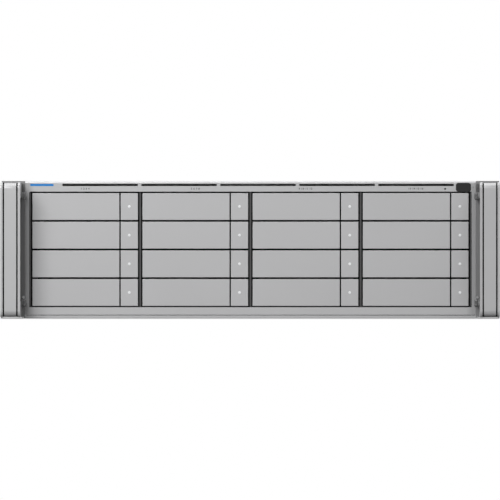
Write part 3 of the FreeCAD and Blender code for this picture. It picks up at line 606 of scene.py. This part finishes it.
def skin(rings):
    n = len(rings[0])
    verts = [p for r in rings for p in r]
    faces = []
    for k in range(len(rings) - 1):
        for i in range(n):
            j = (i + 1) % n
            faces.append((k * n + i, k * n + j, (k + 1) * n + j, (k + 1) * n + i))
    faces.append(tuple(reversed(range(n))))
    faces.append(tuple(range((len(rings) - 1) * n, len(rings) * n)))
    return verts, faces


def turned(point, axis):
    return Matrix.Translation(point) @ Vector(axis).to_track_quat("Z", "Y").to_matrix().to_4x4()


# One piece from several shapes, each with its place and its material
def make_piece(name, parts, body, slot, *materials):
    verts = []
    faces = []
    kinds = []
    for (points, polygons), matrix, material in parts:
        base = len(verts)
        verts += [matrix @ p for p in points]
        faces += [tuple(base + i for i in f) for f in polygons]
        kinds += [materials.index(material)] * len(polygons)
    mesh = bpy.data.meshes.new(name)
    mesh.from_pydata(verts, [], faces)
    mesh.update()
    for m in materials:
        mesh.materials.append(m)
    for p, kind in zip(mesh.polygons, kinds):
        p.material_index = kind
    mesh.shade_smooth()
    mesh.set_sharp_from_angle(angle=math.radians(SHARP_ANGLE))
    obj = bpy.data.objects.new(name, mesh)
    bpy.context.collection.objects.link(obj)
    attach(obj, body)


# Screw heads: steps as shares of radius and height, and the arm and half width of the cross slot
SCREW_SINK = 0.05 * MM
SLOT_TAPER = 0.9
PAN_HEAD = ((1.0, 0.4), (0.93, 0.75), (0.78, 1.0))
PAN_SLOT = (0.58, 0.16)
PAN_SLOT_LOW = 0.35
FLAT_HEAD = ((1.0, 0.5), (0.9, 1.0))
FLAT_SLOT = (0.5, 0.14)
FLAT_SLOT_SINK = 0.03 * MM
LEAST_SINE = 0.05


def cross(arm, width):
    def shape(a):
        t = (a + math.pi / 4) % (math.pi / 2) - math.pi / 4
        return min(arm / math.cos(t), width / max(abs(math.sin(t)), LEAST_SINE))
    return shape


def screw(r, h, head, slot, bottom):
    rings = [ring(r, -SCREW_SINK, ROUND_SCREW)]
    rings += [ring(out * r, up * h, ROUND_SCREW) for out, up in head]
    rings += [ring(r, h, ROUND_SCREW, slot), ring(SLOT_TAPER * r, bottom, ROUND_SCREW, slot)]
    return skin(rings)


def pan_screw(r, h):
    return screw(r, h, PAN_HEAD, cross(*PAN_SLOT), PAN_SLOT_LOW * h)


def flat_screw(r, h):
    return screw(r, h, FLAT_HEAD, cross(*FLAT_SLOT), -FLAT_SLOT_SINK)


# Teeth round a rim, as a wave of straight flanks that is as deep as a share of the radius
def knurled(teeth, depth):
    return lambda a: 1 - depth * abs((a * teeth / (2 * math.pi)) % 1.0 - 0.5) * 2


# Lights on the release buttons, with the steps of the dome as shares of the radius and heights in mm
LIGHT_R = 1.35 * MM
DOME = ((1.0, -0.1), (1.0, 0.04), (0.94, 0.14), (0.7, 0.27), (0.35, 0.34), (0.1, 0.36))
for bay in BAYS:
    low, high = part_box("release_button_" + bay)
    middle = Vector(((low.x + high.x) / 2, FACE_Y, (low.z + high.z) / 2))
    dome = skin([ring(share * LIGHT_R, h * MM) for share, h in DOME])
    parts = [(dome, turned(middle, FRONT), white_glow)]
    make_piece("button_light_" + bay, parts, "release_button_" + bay, "dark_glass", white_glow)

# Plunger of the reset switch in the pinhole
BAND_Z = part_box("status_display")[0].z
PLUNGER = ((0.8, 0.0), (0.8, 0.9), (0.65, 1.1), (0.3, 1.15))
PLUNGER_DEEP = 2.45 * MM
PLUNGER_UP = 2.6 * MM
spot = Vector((PINHOLE_X, FACE_Y + PLUNGER_DEEP, BAND_Z + PLUNGER_UP))
parts = [(skin(round_rings(PLUNGER)), turned(spot, FRONT), black_and_painted_shade)]
make_piece("reset_plunger", parts, "chassis", "black_plastic", black_and_painted_shade)

# Lid details of the drives, placed from the drive's plug end
PLUG_IN = 1.0 * MM
LID_SCREW_R = 2.1 * MM
LID_SCREW_H = 0.3 * MM
LID_SCREW_X = 43.0 * MM
LID_SCREW_ROWS = (8.0 * MM, 74.0 * MM, 139.0 * MM)
SPINDLE_IN = 88.0 * MM
DISC = ((40, -0.05), (40, 0.1), (39.2, 0.3), (38.8, 0.3), (14.4, 0.3), (14, 0.3), (13.4, 0.05), (13, 0.05),
        (9.4, 0.05), (9, 0.05), (8.6, 0.3), (8.2, 0.3), (1.6, 0.3))
PAD_IN = 26.0 * MM
PAD = ((58, 30, -0.05, 1.5), (58, 30, 0.12, 1.5), (57, 29, 0.2, 1.5))
for bay in BAYS:
    low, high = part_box("drive_tray_" + bay)
    top = max(v.co.z for v in nodes["drive_tray_" + bay].data.vertices)
    mid_x = (low.x + high.x) / 2
    back = high.y - PLUG_IN
    parts = []
    for row in LID_SCREW_ROWS:
        for dx in (-LID_SCREW_X, LID_SCREW_X):
            spot = Vector((mid_x + dx, back - row, top))
            parts.append((flat_screw(LID_SCREW_R, LID_SCREW_H), turned(spot, UP), screw_metal))
    spindle = Vector((mid_x, back - SPINDLE_IN, top))
    parts.append((skin(round_rings(DISC, ROUND_DISC)), turned(spindle, UP), drive_lid))
    pad = Vector((mid_x, back - PAD_IN, top))
    parts.append((skin(box_rings(PAD)), turned(pad, UP), drive_lid))
    make_piece("drive_trim_" + bay, parts, "drive_tray_" + bay, "bare_metal", screw_metal, drive_lid)

# Knurled knobs of the rack ears
SIDES = (("left", -1), ("right", 1))
TOP_Z = cad_box[1].z
KNOB_Y = FACE_Y - 9.0 * MM
KNOB_UP = 14.8 * MM
KNOB_TEETH = 26
KNOB_TOOTH = 0.09
COLLAR = ((3.0, 0.0), (3.9, 0.0), (4.0, 0.2), (4.0, 1.3), (3.8, 1.5), (3.2, 1.5))
GRIP_FOOT = ((3.0, 1.4), (3.45, 1.4), (3.5, 1.7))
GRIP_TEETH = ((3.7, 1.9), (3.75, 3.9), (3.5, 4.3))
GRIP_END = ((3.0, 4.95), (2.0, 5.0), (1.9, 4.84))


def knob_parts(s):
    parts = []
    for z in (KNOB_UP, TOP_Z - KNOB_UP):
        seat = turned(Vector((s * EAR_IN, KNOB_Y, z)), (-s, 0, 0))
        parts.append((skin(round_rings(COLLAR, ROUND_COLLAR)), seat, bracket_metal))
        rings = round_rings(GRIP_FOOT, ROUND_GRIP)
        rings += round_rings(GRIP_TEETH, ROUND_GRIP, knurled(KNOB_TEETH, KNOB_TOOTH))
        rings += round_rings(GRIP_END, ROUND_GRIP)
        parts.append((skin(rings), seat, knob_metal))
    return parts


# Screws of the ear strips and the sides: places behind the face and above the floor, radii and heights
HALF_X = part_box("chassis_base")[1].x
STRIP_IN = 1.75 * MM
STRIP_Y = FACE_Y - 1.0 * MM
STRIP_HIGH = 126.3 * MM
STRIP_LOW = 20.3 * MM
WASHER = ((3.0, 8.6, -0.05, 1.2), (3.0, 8.6, 0.4, 1.2), (2.6, 8.2, 0.6, 1.1))
WASHER_T = 0.55 * MM
WASHER_SCREW = (1.3 * MM, 0.8 * MM)
STRIP_SCREW = (1.5 * MM, 0.9 * MM)
BRACKET_T = 2.0 * MM
BRACKET_SCREW = (3.2 * MM, 1.5 * MM)
BRACKET_DEPTHS = (22.0 * MM, 48.0 * MM)
BRACKET_HEIGHTS = (24.0 * MM, 66.5 * MM, 109.0 * MM)
COVER_SCREW = (2.6 * MM, 1.1 * MM)
COVER_DEPTHS = (95.0 * MM, 215.0 * MM, 335.0 * MM, 455.0 * MM)
COVER_DOWN = 6.0 * MM
FLUSH_SCREW = (2.2 * MM, 0.4 * MM)
FLUSH_SPOTS = ((95.0 * MM, 9.0 * MM), (215.0 * MM, 9.0 * MM), (335.0 * MM, 9.0 * MM),
               (150.0 * MM, 40.0 * MM), (150.0 * MM, 100.0 * MM))


def strip_parts(s):
    x = s * (EAR_IN - STRIP_IN)
    high_spot = Vector((x, STRIP_Y, STRIP_HIGH))
    on_washer = Vector((x, STRIP_Y - WASHER_T, STRIP_HIGH))
    low_spot = Vector((x, STRIP_Y, STRIP_LOW))
    return [(skin(box_rings(WASHER)), turned(high_spot, FRONT), knob_metal),
            (pan_screw(*WASHER_SCREW), turned(on_washer, FRONT), knob_metal),
            (pan_screw(*STRIP_SCREW), turned(low_spot, FRONT), screw_metal)]


def side_parts(s):
    parts = []
    outwards = (s, 0, 0)
    for d in BRACKET_DEPTHS:
        for z in BRACKET_HEIGHTS:
            spot = Vector((s * (HALF_X + BRACKET_T), FACE_Y + d, z))
            parts.append((pan_screw(*BRACKET_SCREW), turned(spot, outwards), screw_metal))
    for d in COVER_DEPTHS:
        spot = Vector((s * HALF_X, FACE_Y + d, TOP_Z - COVER_DOWN))
        parts.append((pan_screw(*COVER_SCREW), turned(spot, outwards), screw_metal))
    for d, z in FLUSH_SPOTS:
        spot = Vector((s * HALF_X, FACE_Y + d, z))
        parts.append((flat_screw(*FLUSH_SCREW), turned(spot, outwards), screw_metal))
    return parts


for side, s in SIDES:
    make_piece("ear_knobs_" + side, knob_parts(s), "chassis", "dark_steel", knob_metal, bracket_metal)
    parts = strip_parts(s) + side_parts(s)
    make_piece("side_screws_" + side, parts, "chassis", "bare_metal", knob_metal, screw_metal)

# Turned-out bottom lips of the rack ears
LIP_LOW = 0.15 * MM
LIP_BEVEL = 0.25 * MM
LIP_GAP = 0.5 * MM
LIP_FRONT = 4.5 * MM
LIP_BACK = 0.95 * MM
LIP_SINK = 0.02 * MM
LIP_CORNER = 1.5 * MM
for polygons, low, high in islands(ears):
    if is_knob(high - low) or is_bracket(high - low):
        continue
    side, s = SIDES[1] if low.x > 0 else SIDES[0]
    inner = s * (HALF_X + LIP_GAP)
    outer = s * (EAR_OUT - LIP_GAP)
    front = low.y + LIP_FRONT
    back = FACE_Y - LIP_BACK
    w = abs(outer - inner)
    d = back - front
    h = low.z + LIP_SINK - LIP_LOW
    lip = skin([box_ring(w - 2 * LIP_BEVEL, d - 2 * LIP_BEVEL, 0.0, LIP_CORNER),
                box_ring(w, d, LIP_BEVEL, LIP_CORNER),
                box_ring(w, d, h - LIP_BEVEL, LIP_CORNER),
                box_ring(w - LIP_BEVEL, d - LIP_BEVEL, h, LIP_CORNER)])
    spot = Vector(((inner + outer) / 2, (front + back) / 2, LIP_LOW))
    parts = [(lip, Matrix.Translation(spot), ear_metal)]
    make_piece("ear_lip_" + side, parts, "chassis", "silver_ear", ear_metal)

# Screws of the rear panel
REAR_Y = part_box("chassis_base")[1].y
FAN_HOLE = 35.75 * MM
FAN_SCREW = (3.4 * MM, 1.6 * MM)
EDGE_SCREW = (2.4 * MM, 1.0 * MM)
EDGE_SCREWS_X = (-205.0 * MM, -70.0 * MM, 0.0, 70.0 * MM, 205.0 * MM)
EDGE_DOWN = 4.6 * MM
parts = []
for low, high in (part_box("fan_rotor_1"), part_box("fan_rotor_2")):
    mid = (low + high) / 2
    for dx in (-FAN_HOLE, FAN_HOLE):
        for dz in (-FAN_HOLE, FAN_HOLE):
            spot = Vector((mid.x + dx, REAR_Y, mid.z + dz))
            parts.append((pan_screw(*FAN_SCREW), turned(spot, REAR), screw_metal))
for x in EDGE_SCREWS_X:
    spot = Vector((x, REAR_Y, TOP_Z - EDGE_DOWN))
    parts.append((pan_screw(*EDGE_SCREW), turned(spot, REAR), screw_metal))
make_piece("rear_screws", parts, "chassis", "bare_metal", screw_metal)

# The jacks and module cages of the main board, told apart from its other solids by their sizes
PORT_W = (14.0 * MM, 17.0 * MM)
PORT_H_LEAST = 9.0 * MM
PORT_L_MOST = 60.0 * MM
JACK_L_MOST = 30.0 * MM
jacks = []
cages = []
for polygons, low, high in islands(board):
    size = high - low
    if not PORT_W[0] < size.x < PORT_W[1] or size.z <= PORT_H_LEAST or size.y >= PORT_L_MOST:
        continue
    if size.y < JACK_L_MOST:
        jacks.append((low, high))
    else:
        cages.append((low, high))

# Contacts and lights of the jacks
CONTACTS = 8
CONTACT_PITCH = 1.02 * MM
CONTACT_DEEP = 11.9 * MM
CONTACT_UP = 10.9 * MM
CONTACT = ((0.45, 0.3, 0.0, 0.08), (0.45, 0.3, 7.5, 0.08), (0.3, 0.2, 8.0, 0.06))
LAMP_X = 5.3 * MM
LAMP_UP = 12.5 * MM
JACK_LAMP = ((2.8, 1.4, -0.1, 0.2), (2.8, 1.4, 0.15, 0.2), (2.4, 1.0, 0.3, 0.2))
parts = []
for low, high in sorted(jacks, key=lambda j: j[0].x):
    mid = (low.x + high.x) / 2
    for i in range(CONTACTS):
        x = mid + (i - (CONTACTS - 1) / 2) * CONTACT_PITCH
        spot = Vector((x, high.y - CONTACT_DEEP, low.z + CONTACT_UP))
        parts.append((skin(box_rings(CONTACT)), turned(spot, REAR), gold_metal))
    for dx, material in ((-LAMP_X, green_glow), (LAMP_X, amber_glow)):
        spot = Vector((mid + dx, high.y, low.z + LAMP_UP))
        parts.append((skin(box_rings(JACK_LAMP)), turned(spot, REAR), material))
make_piece("jack_contacts", parts, "chassis", "bare_metal", gold_metal, green_glow, amber_glow)

# Spring fingers and plugs of the module cages
FINGERS = 5
FINGER_PITCH = 2.6 * MM
FINGER_L = 5.0 * MM
FINGER_OUT = 0.1 * MM
FINGER = ((1.8, 0.25, 0.0, 0.1), (1.8, 0.45, 2.5, 0.1), (1.4, 0.2, 5.0, 0.1))
PLUG = ((9.0, 2.4, 0.0, 0.3), (9.0, 2.4, 3.0, 0.3), (8.4, 1.8, 3.4, 0.3))
PLUG_DEEP = 0.7 * MM
PLUG_UP = 4.2 * MM
parts = []
for low, high in cages:
    mid = (low.x + high.x) / 2
    for i in range(FINGERS):
        x = mid + (i - (FINGERS - 1) / 2) * FINGER_PITCH
        for z in (low.z - FINGER_OUT, high.z + FINGER_OUT):
            spot = Vector((x, high.y - FINGER_L, z))
            parts.append((skin(box_rings(FINGER)), turned(spot, REAR), port_metal))
    spot = Vector((mid, low.y + PLUG_DEEP, low.z + PLUG_UP))
    parts.append((skin(box_rings(PLUG)), turned(spot, REAR), black_plastic))
make_piece("cage_fingers", parts, "chassis", "bare_metal", port_metal, black_plastic)

# Shroud, pins and light of the power inlets, with the shroud's steps as widths and heights past the inlet
INLET_IN = 6.0 * MM
INLET_W = 24.6 * MM
INLET_H = 16.8 * MM
INLET_D = 17.0 * MM
SHROUD_CORNER = 2.5 * MM
FLANGE_CORNER = 2.0 * MM
SHROUD = ((-0.4 * MM, 0.1 * MM - INLET_D, SHROUD_CORNER), (-0.4 * MM, -0.05 * MM, SHROUD_CORNER),
          (5.0 * MM, -0.05 * MM, FLANGE_CORNER), (5.0 * MM, 0.9 * MM, FLANGE_CORNER),
          (4.0 * MM, 1.3 * MM, FLANGE_CORNER), (-0.8 * MM, 1.3 * MM, SHROUD_CORNER),
          (-1.4 * MM, 0.9 * MM, SHROUD_CORNER), (-1.4 * MM, 0.6 * MM - INLET_D, SHROUD_CORNER))
PIN = ((2.0, 4.0, 0.0, 0.3), (2.0, 4.0, 12.5, 0.3), (1.2, 3.2, 13.5, 0.3))
PIN_FOOT = 0.4 * MM
PIN_X = 7.0 * MM
PIN_Z = 2.0 * MM
MODULE_LAMP = ((1.6, -0.1), (1.6, 0.3), (1.3, 0.7), (0.7, 0.9))
MODULE_LAMP_X = 66.0 * MM
MODULE_LAMP_UP = 6.0 * MM
for n in MODULES:
    low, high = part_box(n)
    mid = Vector((low.x + INLET_IN + INLET_W / 2, REAR_Y, (low.z + high.z) / 2))
    shroud = skin([box_ring(INLET_W + past, INLET_H + past, h, c) for past, h, c in SHROUD])
    parts = [(shroud, turned(mid, REAR), black_plastic)]
    for dx, dz in ((-PIN_X, -PIN_Z), (0.0, PIN_Z), (PIN_X, -PIN_Z)):
        spot = Vector((mid.x + dx, REAR_Y - INLET_D + PIN_FOOT, mid.z + dz))
        parts.append((skin(box_rings(PIN)), turned(spot, REAR), port_metal))
    spot = Vector((low.x + MODULE_LAMP_X, REAR_Y, low.z + MODULE_LAMP_UP))
    parts.append((skin(round_rings(MODULE_LAMP)), turned(spot, REAR), green_glow))
    make_piece("power_inlet_" + n[-1], parts, n, "black_plastic", black_plastic, port_metal, green_glow)

# Plain numbers over the bay columns and over the ports
INK_T = 0.02 * MM
INK_SPREAD = 0.06 * MM
INK_OUT = 0.01 * MM
INK_CURVE = 3
BAY_TEXT = 2.5 * MM
BAY_TEXT_SPACE = 1.2
BAY_TEXT_X = 9.0 * MM
BAY_TEXT_UP = 2.75 * MM
PORT_TEXT = 3.4 * MM
PORT_TEXT_SPACE = 1.0
PORT_TEXT_UP = 21.0 * MM
FACING_FRONT = (math.radians(90), 0, 0)
FACING_REAR = (math.radians(90), 0, math.radians(180))


def number(name, text, size, space, spot, turn, body):
    curve = bpy.data.curves.new(name, "FONT")
    curve.body = text
    curve.size = size
    curve.space_character = space
    curve.extrude = INK_T
    curve.offset = INK_SPREAD
    curve.align_x = "CENTER"
    curve.align_y = "CENTER"
    curve.resolution_u = INK_CURVE
    curve.materials.append(printed_ink)
    obj = bpy.data.objects.new(name, curve)
    bpy.context.collection.objects.link(obj)
    obj.location = spot
    obj.rotation_euler = turn
    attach(obj, body)


for c in range(COLUMNS):
    low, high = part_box("tray_lever_1" + str(c + 1))
    text = " ".join(str(ROWS * c + r) for r in range(1, ROWS + 1))
    spot = ((low.x + high.x) / 2 + BAY_TEXT_X, FACE_Y - INK_OUT, BAND_Z + BAY_TEXT_UP)
    number("bay_numbers_" + str(c + 1), text, BAY_TEXT, BAY_TEXT_SPACE, spot, FACING_FRONT, "chassis")
ports = sorted(jacks, key=lambda j: -j[0].x) + sorted(cages, key=lambda j: -j[0].x)
for i, (low, high) in enumerate(ports):
    label = str(i + 1)
    spot = ((low.x + high.x) / 2, REAR_Y + INK_OUT, low.z + PORT_TEXT_UP)
    number("port_number_" + label, label, PORT_TEXT, PORT_TEXT_SPACE, spot, FACING_REAR, "chassis")

# Floor and light: sizes, greys and strengths
FLOOR_HALF = 12.0
FLOOR_DROP = 0.3 * MM
FLOOR_GREY = (0.22, 0.22, 0.222, 1)
SHADOW_REACH = 0.15
SHADOW_SAMPLES = 8
SHADOW_STOPS = ((0.0, (0.4, 0.4, 0.405)), (0.9, (1, 1, 1)))
WHITE = (1, 1, 1, 1)
WORLD_LIGHT = 0.13
WORLD_SEEN = 1.0
AIM_Z = 66.5 * MM


def seen_directly(tree):
    path = tree.nodes.new("ShaderNodeLightPath")
    value = path.outputs["Is Camera Ray"]
    for other in ("Is Glossy Ray", "Is Transmission Ray"):
        most = tree.nodes.new("ShaderNodeMath")
        most.operation = "MAXIMUM"
        tree.links.new(value, most.inputs[0])
        tree.links.new(path.outputs[other], most.inputs[1])
        value = most.outputs[0]
    return value


def floor_material():
    m = bpy.data.materials.new("floor_white")
    m.use_nodes = True
    tree = m.node_tree
    tree.nodes.clear()
    out = tree.nodes.new("ShaderNodeOutputMaterial")
    mix = tree.nodes.new("ShaderNodeMixShader")
    white = tree.nodes.new("ShaderNodeEmission")
    matte = tree.nodes.new("ShaderNodeBsdfDiffuse")
    # The white the floor shows has a painted shadow: darker where ambient occlusion finds the object near
    near = tree.nodes.new("ShaderNodeAmbientOcclusion")
    near.inputs["Distance"].default_value = SHADOW_REACH
    near.samples = SHADOW_SAMPLES
    tree.links.new(colour_ramp(tree, near.outputs["AO"], SHADOW_STOPS), white.inputs["Color"])
    matte.inputs["Color"].default_value = FLOOR_GREY
    tree.links.new(seen_directly(tree), mix.inputs["Fac"])
    tree.links.new(matte.outputs[0], mix.inputs[1])
    tree.links.new(white.outputs[0], mix.inputs[2])
    tree.links.new(mix.outputs[0], out.inputs[0])
    return m


def make_floor():
    h = FLOOR_HALF
    mesh = bpy.data.meshes.new("floor")
    mesh.from_pydata([(-h, -h, 0), (h, -h, 0), (h, h, 0), (-h, h, 0)], [], [(0, 1, 2, 3)])
    floor = bpy.data.objects.new("floor", mesh)
    bpy.context.collection.objects.link(floor)
    floor.location.z = cad_box[0].z - FLOOR_DROP
    mesh.materials.append(floor_material())


def background(tree, strength):
    b = tree.nodes.new("ShaderNodeBackground")
    b.inputs["Color"].default_value = WHITE
    b.inputs["Strength"].default_value = strength
    return b


def make_world():
    world = bpy.data.worlds.new("studio")
    bpy.context.scene.world = world
    world.use_nodes = True
    tree = world.node_tree
    tree.nodes.clear()
    out = tree.nodes.new("ShaderNodeOutputWorld")
    soft = background(tree, WORLD_LIGHT)
    seen = background(tree, WORLD_SEEN)
    mix = tree.nodes.new("ShaderNodeMixShader")
    tree.links.new(seen_directly(tree), mix.inputs["Fac"])
    tree.links.new(soft.outputs[0], mix.inputs[1])
    tree.links.new(seen.outputs[0], mix.inputs[2])
    tree.links.new(mix.outputs[0], out.inputs[0])


def make_lamp(name, azimuth, elevation, distance, size, power):
    aim = Vector((0, FACE_Y, AIM_Z))
    a = math.radians(azimuth)
    e = math.radians(elevation)
    spot = aim + distance * Vector((math.sin(a) * math.cos(e), -math.cos(a) * math.cos(e), math.sin(e)))
    data = bpy.data.lights.new(name, "AREA")
    data.shape = "RECTANGLE"
    data.size, data.size_y = size
    data.energy = power
    lamp = bpy.data.objects.new(name, data)
    bpy.context.collection.objects.link(lamp)
    lamp.location = spot
    lamp.rotation_euler = (aim - spot).to_track_quat("-Z", "Y").to_euler()


make_floor()
make_world()
make_lamp("key_left", azimuth=-27.0, elevation=27.0, distance=1.9, size=(1.0, 0.6), power=26.2)
make_lamp("fill_right", azimuth=30.0, elevation=22.0, distance=2.2, size=(1.0, 0.8), power=4.8)
make_lamp("rear", azimuth=155.0, elevation=22.0, distance=2.5, size=(1.4, 0.8), power=24.0)
make_lamp("top", azimuth=0.0, elevation=82.0, distance=2.2, size=(2.2, 1.2), power=11.5)

# Camera, far in front and a little to the right, with the width of the ears filling the picture
FRONT_Y = cad_box[0].y
EAR_SPAN = 482.6 * MM
CAMERA_FAR = 7.8
CAMERA_X = 0.08
CAMERA_Z = 66.2 * MM
SENSOR = 36.0
VIEW_END = 60.0
camera_data = bpy.data.cameras.new("camera")
camera = bpy.data.objects.new("camera", camera_data)
bpy.context.collection.objects.link(camera)
camera_data.sensor_width = SENSOR
camera_data.lens = SENSOR * CAMERA_FAR / EAR_SPAN
camera_data.clip_end = VIEW_END
camera.location = (CAMERA_X, FRONT_Y - CAMERA_FAR, CAMERA_Z)
camera.rotation_euler = (math.radians(90), 0, math.atan(CAMERA_X / CAMERA_FAR))
bpy.context.scene.camera = camera
bpy.context.scene.view_settings.view_transform = "Standard"
